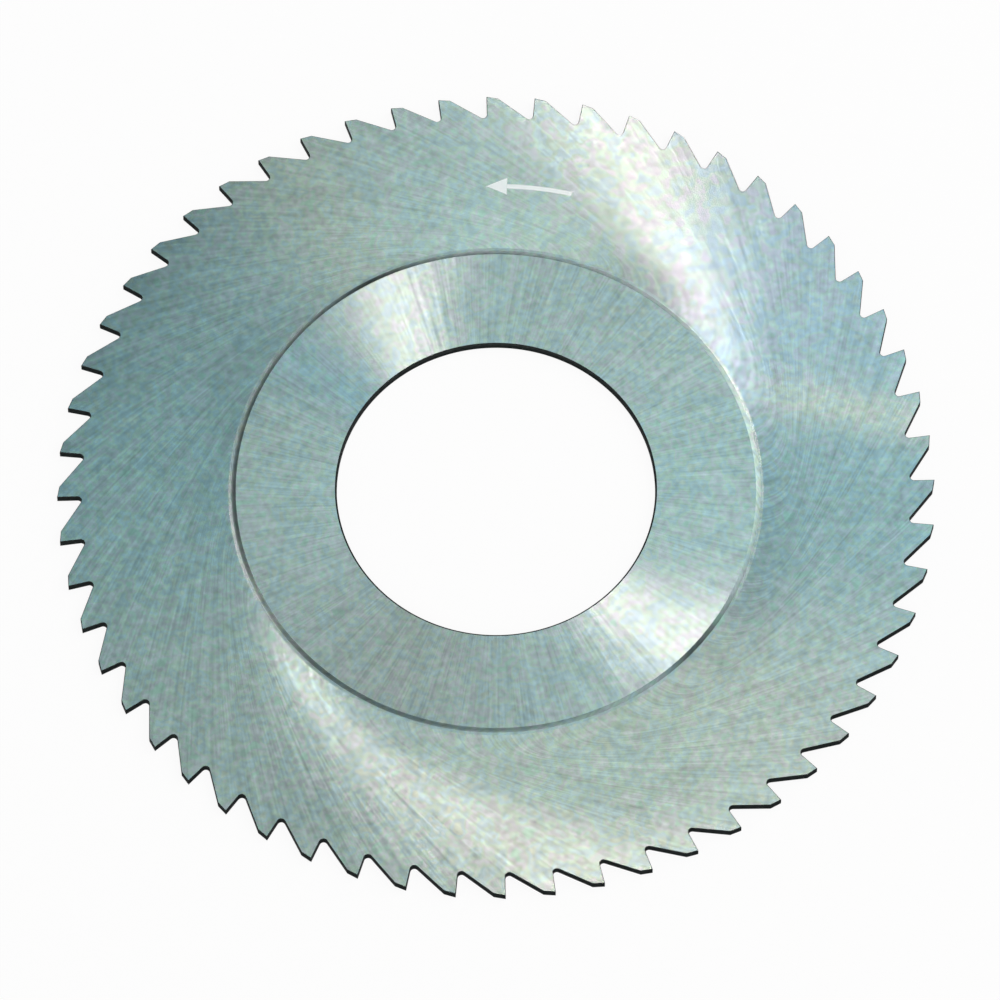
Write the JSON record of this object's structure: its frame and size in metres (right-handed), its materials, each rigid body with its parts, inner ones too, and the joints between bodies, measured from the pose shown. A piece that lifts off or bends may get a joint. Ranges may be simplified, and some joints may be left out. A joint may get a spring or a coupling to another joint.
{
  "type": "slitting saw",
  "caption": "Thin round carbide slitting saw with a ring of radial-faced teeth, hollow-ground sides, a flat hub and a plain bore.",
  "frame": {"origin": "on the bore's axis, at the disc's middle plane", "axes": "+Z along the bore's axis, with +X through the tip of one tooth; the tips point counter-clockwise seen from +Z"},
  "size_m": [0.07, 0.07, 0.0008],
  "materials": {
    "ground_carbide": "dry ground, fine straight marks that run out tangent to the hub"
  },
  "bodies": {
    "root": {"saw_blade": "ground_carbide"}
  },
  "joints": []
}
